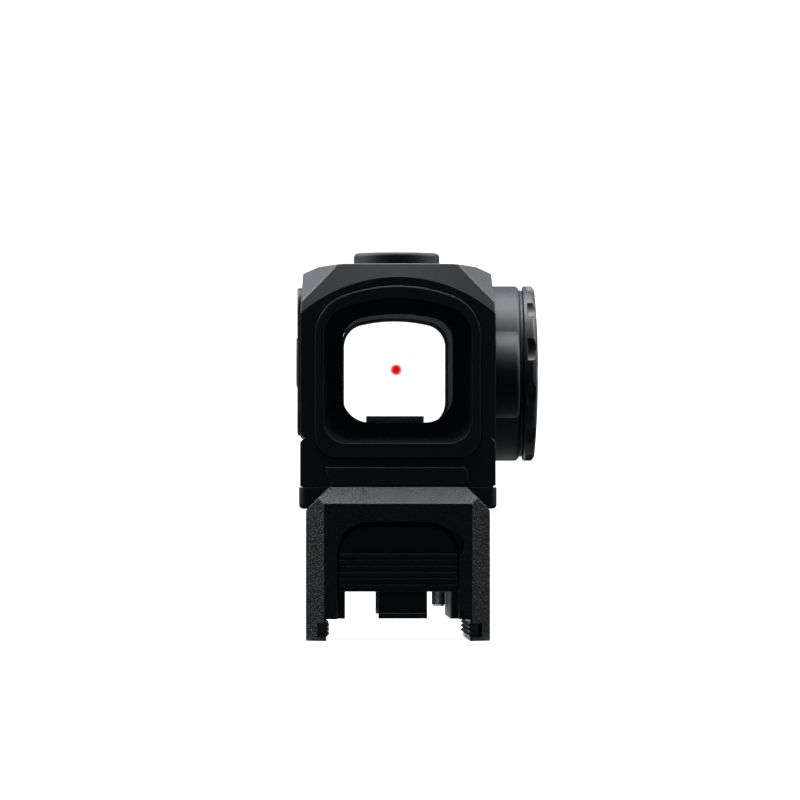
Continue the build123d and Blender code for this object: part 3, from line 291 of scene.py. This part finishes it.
# Windows: flat optical glass bedded in rubber, with an anti-reflection coating that
# shows a faint green where it is seen at a slant.
def coated_glass(name, tint):
    """Clear coated glass with a trace of dust."""
    finish = bpy.data.materials.new(name)
    finish.use_nodes = True
    nodes, links = finish.node_tree.nodes, finish.node_tree.links
    shader = nodes["Principled BSDF"]
    shader.inputs["Transmission Weight"].default_value = 1.0
    shader.inputs["IOR"].default_value = 1.45
    place = nodes.new("ShaderNodeTexCoord")
    dust = nodes.new("ShaderNodeTexNoise")
    dust.inputs["Scale"].default_value = 900.0
    links.new(place.outputs["Object"], dust.inputs["Vector"])
    haze = nodes.new("ShaderNodeMapRange")
    haze.inputs["From Min"].default_value = 0.6
    haze.inputs["To Max"].default_value = 0.02
    links.new(dust.outputs["Fac"], haze.inputs["Value"])
    links.new(haze.outputs[0], shader.inputs["Roughness"])
    slant = nodes.new("ShaderNodeLayerWeight")
    slant.inputs["Blend"].default_value = 0.4
    coating = nodes.new("ShaderNodeMix")
    coating.data_type = "RGBA"
    coating.inputs["A"].default_value = (1, 1, 1, 1)
    coating.inputs["B"].default_value = (*tint, 1)
    links.new(slant.outputs["Facing"], coating.inputs["Factor"])
    links.new(coating.outputs["Result"], shader.inputs["Base Color"])
    return finish


def dress(finish, *pieces):
    """Gives pieces of the frame their finish."""
    for piece in pieces:
        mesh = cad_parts[piece].data
        mesh.materials.clear()
        mesh.materials.append(finish)


def rubber(name, tone, roughness, grain):
    """Moulded rubber with a fine eroded skin."""
    finish = bpy.data.materials.new(name)
    finish.use_nodes = True
    nodes, links = finish.node_tree.nodes, finish.node_tree.links
    shader = nodes["Principled BSDF"]
    place = nodes.new("ShaderNodeTexCoord")
    skin = nodes.new("ShaderNodeTexNoise")
    skin.inputs["Scale"].default_value = 1 / grain
    skin.inputs["Detail"].default_value = 3.0
    links.new(place.outputs["Object"], skin.inputs["Vector"])
    bloom = nodes.new("ShaderNodeMix")
    bloom.data_type = "RGBA"
    bloom.inputs["A"].default_value = (*(0.7 * c for c in tone), 1)
    bloom.inputs["B"].default_value = (*(1.5 * c for c in tone), 1)
    links.new(skin.outputs["Fac"], bloom.inputs["Factor"])
    links.new(bloom.outputs["Result"], shader.inputs["Base Color"])
    shader.inputs["Roughness"].default_value = roughness
    bump = nodes.new("ShaderNodeBump")
    bump.inputs["Distance"].default_value = 0.01 * MM
    bump.inputs["Strength"].default_value = 0.7
    links.new(skin.outputs["Fac"], bump.inputs["Height"])
    links.new(bump.outputs["Normal"], shader.inputs["Normal"])
    return finish


dress(coated_glass("window_coating", (0.6, 0.86, 0.77)), "rear_window", "front_window")
seal_rubber = rubber("seal_rubber", (0.012, 0.012, 0.013), 0.7, 0.2 * MM)
dress(seal_rubber, "rear_window_seal", "front_window_seal")


# Reflector: a thick lens in the front of the optics carrier. Its curved rear face
# mirrors the emitter; the soft red dot on the line of sight is a painted reflection, a red patch glowing
# on the lens itself.
DOT_CENTRE = (0.22 * MM, 0, 31.33 * MM)
DOT_RADIUS = 0.98 * MM
painted_dot_glass = coated_glass("reflector_coating_and_painted_dot", (0.55, 0.85, 0.75))
nodes, links = painted_dot_glass.node_tree.nodes, painted_dot_glass.node_tree.links
shader = nodes["Principled BSDF"]
place = nodes.new("ShaderNodeTexCoord")
flattened = nodes.new("ShaderNodeVectorMath")
flattened.operation = "MULTIPLY"
flattened.inputs[1].default_value = (1, 0, 1)
links.new(place.outputs["Object"], flattened.inputs[0])
off_centre = nodes.new("ShaderNodeVectorMath")
off_centre.operation = "DISTANCE"
off_centre.inputs[1].default_value = DOT_CENTRE
links.new(flattened.outputs[0], off_centre.inputs[0])
# painted reflection of the emitter: full in the dot's middle, gone at DOT_RADIUS
painted_dot_glow = nodes.new("ShaderNodeMapRange")
painted_dot_glow.interpolation_type = "SMOOTHSTEP"
painted_dot_glow.inputs["From Min"].default_value = 0.3 * DOT_RADIUS
painted_dot_glow.inputs["From Max"].default_value = DOT_RADIUS
painted_dot_glow.inputs["To Min"].default_value = 1.0
painted_dot_glow.inputs["To Max"].default_value = 0.0
links.new(off_centre.outputs["Value"], painted_dot_glow.inputs["Value"])
clear = nodes.new("ShaderNodeMath")
clear.operation = "SUBTRACT"
clear.inputs[0].default_value = 1.0
links.new(painted_dot_glow.outputs[0], clear.inputs[1])
links.new(clear.outputs[0], shader.inputs["Transmission Weight"])
# the lens glows red there and is painted red, a painted reflection rather than light from the emitter
links.new(painted_dot_glow.outputs[0], shader.inputs["Emission Strength"])
shader.inputs["Emission Color"].default_value = (0.68, 0.0, 0.0, 1)
painted_dot_red = nodes.new("ShaderNodeMix")
painted_dot_red.data_type = "RGBA"
painted_dot_red.inputs["B"].default_value = (0.6, 0.0, 0.0, 1)
links.new(painted_dot_glow.outputs[0], painted_dot_red.inputs["Factor"])
links.new(shader.inputs["Base Color"].links[0].from_socket, painted_dot_red.inputs["A"])
links.new(painted_dot_red.outputs["Result"], shader.inputs["Base Color"])
dress(painted_dot_glass, "reflector_lens")


# Optics carrier, with its lens retainer, pivot ring and emitter block: thin aluminium,
# machined, then anodised a flat black with faint cutter lines.
def turned_black(name, tone, roughness, line_width):
    """Flat black over fine cutter lines, line_width metres apart."""
    finish = bpy.data.materials.new(name)
    finish.use_nodes = True
    nodes, links = finish.node_tree.nodes, finish.node_tree.links
    shader = nodes["Principled BSDF"]
    place = nodes.new("ShaderNodeTexCoord")
    stretch = nodes.new("ShaderNodeMapping")
    stretch.inputs["Scale"].default_value = (0.12, 1.0, 1.0)
    links.new(place.outputs["Object"], stretch.inputs["Vector"])
    lines = nodes.new("ShaderNodeTexNoise")
    lines.inputs["Scale"].default_value = 1 / line_width
    lines.inputs["Detail"].default_value = 2.0
    links.new(stretch.outputs[0], lines.inputs["Vector"])
    shade = nodes.new("ShaderNodeMix")
    shade.data_type = "RGBA"
    shade.inputs["A"].default_value = (*(0.6 * c for c in tone), 1)
    shade.inputs["B"].default_value = (*(1.5 * c for c in tone), 1)
    links.new(lines.outputs["Fac"], shade.inputs["Factor"])
    links.new(shade.outputs["Result"], shader.inputs["Base Color"])
    shader.inputs["Roughness"].default_value = roughness
    bump = nodes.new("ShaderNodeBump")
    bump.inputs["Distance"].default_value = 0.006 * MM
    bump.inputs["Strength"].default_value = 0.7
    links.new(lines.outputs["Fac"], bump.inputs["Height"])
    links.new(bump.outputs["Normal"], shader.inputs["Normal"])
    return finish


carrier_black = turned_black("carrier_black", (0.007, 0.0085, 0.0095), 0.62, 0.12 * MM)
dress(carrier_black, "optics_carrier", "lens_retainer", "emitter_block", "pivot_ring")


# Emitter: a small clear red resin dome on the block at the back of the carrier.
# The die inside lights it from the middle, painted as a resin colour lighter where the dome faces the eye
# and darker at its rim.
resin = bpy.data.materials.new("red_resin")
resin.use_nodes = True
nodes, links = resin.node_tree.nodes, resin.node_tree.links
shader = nodes["Principled BSDF"]
rim = nodes.new("ShaderNodeLayerWeight")
rim.inputs["Blend"].default_value = 0.35
# painted glow of the die: the resin's colour lighter in the middle, darker at the rim
depth = nodes.new("ShaderNodeMix")
depth.data_type = "RGBA"
depth.inputs["A"].default_value = (0.75, 0.03, 0.02, 1)
depth.inputs["B"].default_value = (0.25, 0.005, 0.004, 1)
links.new(rim.outputs["Facing"], depth.inputs["Factor"])
links.new(depth.outputs["Result"], shader.inputs["Base Color"])
shader.inputs["Roughness"].default_value = 0.12
shader.inputs["Emission Color"].default_value = (0.9, 0.02, 0.01, 1)
shader.inputs["Emission Strength"].default_value = 0.6
dress(resin, "emitter")


# Springs of the carrier, the click balls, the cell and the latch: grey drawn spring
# wire, wound cold. Those of the carrier and the latch are kept as modelled, fixed to the sight.
def drawn_steel(name, tone, roughness, grain, stretched):
    """Steel with marks grain metres apart; stretched is the marks' scale along X, Y and Z."""
    finish = bpy.data.materials.new(name)
    finish.use_nodes = True
    nodes, links = finish.node_tree.nodes, finish.node_tree.links
    shader = nodes["Principled BSDF"]
    place = nodes.new("ShaderNodeTexCoord")
    stretch = nodes.new("ShaderNodeMapping")
    stretch.inputs["Scale"].default_value = stretched
    links.new(place.outputs["Object"], stretch.inputs["Vector"])
    marks = nodes.new("ShaderNodeTexNoise")
    marks.inputs["Scale"].default_value = 1 / grain
    marks.inputs["Detail"].default_value = 4.0
    links.new(stretch.outputs[0], marks.inputs["Vector"])
    shade = nodes.new("ShaderNodeValToRGB")
    shade.color_ramp.elements[0].position = 0.35
    shade.color_ramp.elements[0].color = (*(0.35 * c for c in tone), 1)
    shade.color_ramp.elements[1].position = 0.65
    shade.color_ramp.elements[1].color = (*tone, 1)
    links.new(marks.outputs["Fac"], shade.inputs["Fac"])
    links.new(shade.outputs["Color"], shader.inputs["Base Color"])
    shader.inputs["Metallic"].default_value = 1.0
    gloss = nodes.new("ShaderNodeMapRange")
    gloss.inputs["To Min"].default_value = roughness - 0.08
    gloss.inputs["To Max"].default_value = roughness + 0.15
    links.new(marks.outputs["Fac"], gloss.inputs["Value"])
    links.new(gloss.outputs[0], shader.inputs["Roughness"])
    bump = nodes.new("ShaderNodeBump")
    bump.inputs["Distance"].default_value = 0.008 * MM
    bump.inputs["Strength"].default_value = 0.8
    links.new(marks.outputs["Fac"], bump.inputs["Height"])
    links.new(bump.outputs["Normal"], shader.inputs["Normal"])
    return finish


spring_wire = drawn_steel("spring_wire", (0.42, 0.42, 0.44), 0.3, 0.15 * MM, (1, 1, 1))
dress(spring_wire, "click_springs", "battery_spring")


def coiled(node):
    """A compression spring, smooth-shaded in spring wire and fixed to the sight as modelled."""
    wound = bmesh.new()
    wound.from_mesh(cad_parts[node].data)
    bmesh.ops.remove_doubles(wound, verts=wound.verts, dist=1e-6)
    mesh = bpy.data.meshes.new(node + "_wound")
    wound.to_mesh(mesh)
    wound.free()
    mesh.polygons.foreach_set("use_smooth", [True] * len(mesh.polygons))
    mesh.materials.append(spring_wire)
    piece = bpy.data.objects.new(node + "_wound", mesh)
    bpy.context.scene.collection.objects.link(piece)
    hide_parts(node)
    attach(piece, "sight")
    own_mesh(piece)


coiled("lift_spring")
coiled("side_spring")
coiled("latch_springs")


# Dials: the elevation dial on top and the windage dial on the right, turned and
# anodised like the housing, each with a coin slot. A snap ring holds each in its well.
dial_black = blasted_black("dial_black", (0.007, 0.009, 0.012), 0.6, 0.1 * MM, 0.006 * MM)
deburred("elevation_dial", "elevation_knob", dial_black, 0.07 * MM)
deburred("windage_dial", "windage_knob", dial_black, 0.07 * MM)
dress(seal_rubber, "elevation_seal", "windage_seal")
oxide_steel = drawn_steel("oxide_steel", (0.035, 0.036, 0.04), 0.4, 0.2 * MM, (1, 1, 1))
dress(oxide_steel, "dial_snap_rings")
pin_steel = drawn_steel("pin_steel", (0.5, 0.51, 0.53), 0.25, 0.1 * MM, (1, 1, 0.2))
dress(pin_steel, "elevation_plunger", "windage_plunger", "click_balls")


# Battery: a flat cell in the boss on the right, under a screwed cap with thumb notches
# round its edge and a coin slot. The cap's contact disc is gold-coloured brass.
cap_black = blasted_black("cap_black", (0.010, 0.012, 0.015), 0.48, 0.11 * MM, 0.01 * MM)
deburred("battery_cap", "cap", cap_black, 0.1 * MM)
dress(seal_rubber, "battery_cap_seal")
dress(drawn_steel("nickel_plate", (0.68, 0.67, 0.65), 0.28, 0.4 * MM, (1, 1, 1)), "battery")
brass = drawn_steel("contact_brass", (0.78, 0.58, 0.27), 0.25, 0.3 * MM, (1, 1, 0.3))
dress(brass, "cap_contact")


# Keypad on the left: a thin anodised plate held by four small screws, two round rubber
# keys with a plus and a minus, and behind them a gasket, dome switches and the board.
deburred("button_plate", "sight", housing_black, 0.06 * MM)
key_rubber = rubber("key_rubber", (0.016, 0.017, 0.018), 0.62, 0.12 * MM)
dress(key_rubber, "up_button", "down_button")
dress(seal_rubber, "keypad_gasket")
dress(oxide_steel, "keypad_screws")
solder_mask = bpy.data.materials.new("solder_mask")
solder_mask.use_nodes = True
nodes, links = solder_mask.node_tree.nodes, solder_mask.node_tree.links
shader = nodes["Principled BSDF"]
place = nodes.new("ShaderNodeTexCoord")
traces = nodes.new("ShaderNodeTexVoronoi")
traces.feature = "DISTANCE_TO_EDGE"
traces.distance = "EUCLIDEAN"
traces.inputs["Scale"].default_value = 520.0
links.new(place.outputs["Object"], traces.inputs["Vector"])
copper = nodes.new("ShaderNodeValToRGB")
copper.color_ramp.interpolation = "CONSTANT"
copper.color_ramp.elements[0].color = (0.05, 0.22, 0.09, 1)
copper.color_ramp.elements[1].position = 0.07
copper.color_ramp.elements[1].color = (0.012, 0.09, 0.04, 1)
links.new(traces.outputs["Distance"], copper.inputs["Fac"])
links.new(copper.outputs["Color"], shader.inputs["Base Color"])
shader.inputs["Roughness"].default_value = 0.3
dress(solder_mask, "circuit_board")
dress(drawn_steel("dome_metal", (0.62, 0.62, 0.6), 0.3, 0.3 * MM, (1, 1, 1)), "dome_switches")
dress(rubber("chip_resin", (0.018, 0.018, 0.019), 0.5, 0.25 * MM), "board_chips")


# Base: a thin gasket, the adapter plate, and black steel screws sunk in it. Two pegs
# take the side load. The plate's finish is that of the housing.
dress(seal_rubber, "base_gasket")
deburred("adapter_plate", "sight", housing_black, 0.09 * MM)
dress(oxide_steel, "sight_screws", "plate_screws")
dress(pin_steel, "locating_pegs")


# Foot: one milled block, blasted coarser than the housing, so that its sloped rear
# edge sparkles. The thumb latch slides in its arched recess on a pin and two springs.
foot_black = blasted_black("foot_black", (0.011, 0.0135, 0.016), 0.4, 0.3 * MM, 0.1 * MM)


def by_the_gibs(middle):
    """True for the thin lips round the gib pockets, which are left as cut."""
    return middle.z < -3 * MM and abs(middle.x) < 11.4 * MM


deburred("riser_block", "sight", foot_black, 0.11 * MM,
         sharper_than=50, left_crisp=by_the_gibs)
deburred("latch", "latch_slider", hood_black, 0.07 * MM)
dress(oxide_steel, "hook_screw", "latch_pin", "fixed_gib_screws", "rear_gib_screw", "front_gib_screw")
deburred("front_hook", "sight", oxide_steel, 0.08 * MM)
dress(pin_steel, "index_pin")


# Gibs: two steel strips in the legs that bite on the rail. Their gripping faces are
# filed crosswise into three rows of teeth, and they are left raw, burred and scratched.
raw_steel = drawn_steel("raw_steel", (0.15, 0.155, 0.165), 0.36, 0.3 * MM, (1, 1, 1))
TOOTH_PITCH = 0.8 * MM
TOOTH_DEPTH = 0.4 * MM
TOOTH_ROWS = 3
VALLEY = 0.25                                 # how much of a tooth is left at the file's cut


def toothed_slice(name, side, low, high):
    """One pitch of a gib between its box's low and high corners, widest in the middle of the pitch."""
    back, front = (low.x, high.x) if side < 0 else (high.x, low.x)
    top, base = high.z, low.z
    gum = front + side * TOOTH_DEPTH
    height = (top - base) / TOOTH_ROWS
    rings = []
    for step, reach in ((0, VALLEY), (0.5, 1.0), (1, VALLEY)):
        y = step * TOOTH_PITCH
        outline = [(back, top), (gum, top)]
        for tooth in range(TOOTH_ROWS):
            outline.append((gum - side * reach * TOOTH_DEPTH, top - (tooth + 0.5) * height))
            outline.append((gum, top - (tooth + 1) * height))
        outline.append((back, base))
        rings.append([(x, y, z) for x, z in outline])
    count = len(rings[0])
    corners = [corner for ring in rings for corner in ring]
    faces = []
    for start in (0, count):
        for i in range(count):
            after = (i + 1) % count
            faces.append((start + i, start + after, start + count + after, start + count + i))
    mesh = bpy.data.meshes.new(name)
    mesh.from_pydata(corners, [], faces)
    tidy = bmesh.new()
    tidy.from_mesh(mesh)
    bmesh.ops.holes_fill(tidy, edges=tidy.edges)
    bmesh.ops.recalc_face_normals(tidy, faces=tidy.faces)
    tidy.to_mesh(mesh)
    tidy.free()
    return mesh


file_row = bpy.data.node_groups.new("file_row", "GeometryNodeTree")
file_row.is_modifier = True
face = file_row.interface
face.new_socket("Slice", in_out="INPUT", socket_type="NodeSocketGeometry")
face.new_socket("Teeth", in_out="INPUT", socket_type="NodeSocketInt")
face.new_socket("Pitch", in_out="INPUT", socket_type="NodeSocketFloat")
face.new_socket("Start", in_out="INPUT", socket_type="NodeSocketVector")
face.new_socket("Steel", in_out="INPUT", socket_type="NodeSocketMaterial")
face.new_socket("Strip", in_out="OUTPUT", socket_type="NodeSocketGeometry")
nodes, links = file_row.nodes, file_row.links
given = nodes.new("NodeGroupInput")
made = nodes.new("NodeGroupOutput")
spacing = nodes.new("ShaderNodeCombineXYZ")
links.new(given.outputs["Pitch"], spacing.inputs["Y"])
row = nodes.new("GeometryNodeMeshLine")
links.new(given.outputs["Teeth"], row.inputs["Count"])
links.new(given.outputs["Start"], row.inputs["Start Location"])
links.new(spacing.outputs[0], row.inputs["Offset"])
placed = nodes.new("GeometryNodeInstanceOnPoints")
links.new(row.outputs["Mesh"], placed.inputs["Points"])
links.new(given.outputs["Slice"], placed.inputs["Instance"])
real = nodes.new("GeometryNodeRealizeInstances")
links.new(placed.outputs["Instances"], real.inputs["Geometry"])
steel = nodes.new("GeometryNodeSetMaterial")
links.new(real.outputs["Geometry"], steel.inputs["Geometry"])
links.new(given.outputs["Steel"], steel.inputs["Material"])
links.new(steel.outputs["Geometry"], made.inputs["Strip"])

for node, body, side in (("fixed_gib", "sight", -1), ("moving_gib", "gib_slider", 1)):
    low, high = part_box(node)
    teeth = int((high.y - low.y) / TOOTH_PITCH)
    blank = bpy.data.objects.new(node + "_slice", toothed_slice(node + "_slice", side, low, high))
    bpy.context.scene.collection.objects.link(blank)
    filing = blank.modifiers.new("file_row", "NODES")
    filing.node_group = file_row
    sockets = {item.name: item.identifier for item in face.items_tree if item.in_out == "INPUT"}
    filing[sockets["Teeth"]] = teeth
    filing[sockets["Pitch"]] = TOOTH_PITCH
    filing[sockets["Start"]] = (0.0, (low.y + high.y - teeth * TOOTH_PITCH) / 2, 0.0)
    filing[sockets["Steel"]] = raw_steel
    ready = blank.evaluated_get(bpy.context.evaluated_depsgraph_get())
    strip = bpy.data.objects.new(node + "_filed", bpy.data.meshes.new_from_object(ready))
    bpy.data.objects.remove(blank)
    bpy.context.scene.collection.objects.link(strip)
    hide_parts(node)
    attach(strip, body)
